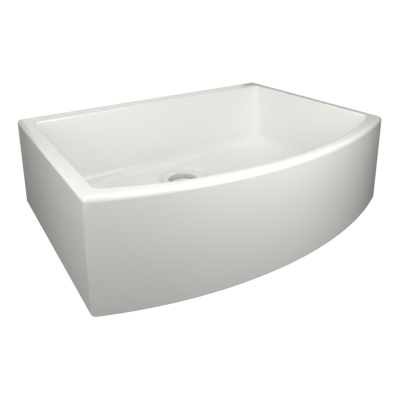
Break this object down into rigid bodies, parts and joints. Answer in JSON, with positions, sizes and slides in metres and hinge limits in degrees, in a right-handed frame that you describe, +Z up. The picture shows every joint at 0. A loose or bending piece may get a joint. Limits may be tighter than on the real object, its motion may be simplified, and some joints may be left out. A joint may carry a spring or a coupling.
{
  "type": "apron front kitchen sink",
  "caption": "Single-bowl fireclay apron front kitchen sink with a bowed front, dished rear outlet and a lift-out basket strainer waste.",
  "frame": {"origin": "middle of the flat underside, halfway between the sides and halfway between the back and the tip of the bow", "axes": "+X to the right as seen from the front, +Y to the wall behind, +Z up; the bowed apron faces -Y"},
  "size_m": [0.76, 0.572, 0.2738],
  "materials": {
    "glazed_fireclay": "white gloss glaze over fireclay",
    "foam_seal": "matt grey closed-cell foam",
    "white_enamel": "white stoved enamel on pressed steel",
    "black_rubber": "matt moulded rubber",
    "fibre": "pressed fibre, matt",
    "zinc_plated_steel": "zinc plated",
    "stainless_steel": "pressed and brushed stainless steel",
    "brass": "turned brass",
    "white_plastic": "moulded gloss white"
  },
  "bodies": {
    "root": {"sink_body": "glazed_fireclay", "flange_seal": "foam_seal", "strainer_body": "white_enamel", "rubber_gasket": "black_rubber", "friction_washer": "fibre", "lock_nut": "zinc_plated_steel"},
    "basket": {"basket_cup": "stainless_steel", "basket_stopper": "black_rubber", "basket_post": "stainless_steel", "basket_catch": "brass", "basket_nut": "brass", "basket_cover": "white_plastic"}
  },
  "joints": [
    {"name": "basket_lift", "type": "slide", "parent": "root", "child": "basket", "axis": [0, 0, 1], "range_m": [0, 0.12]}
  ]
}
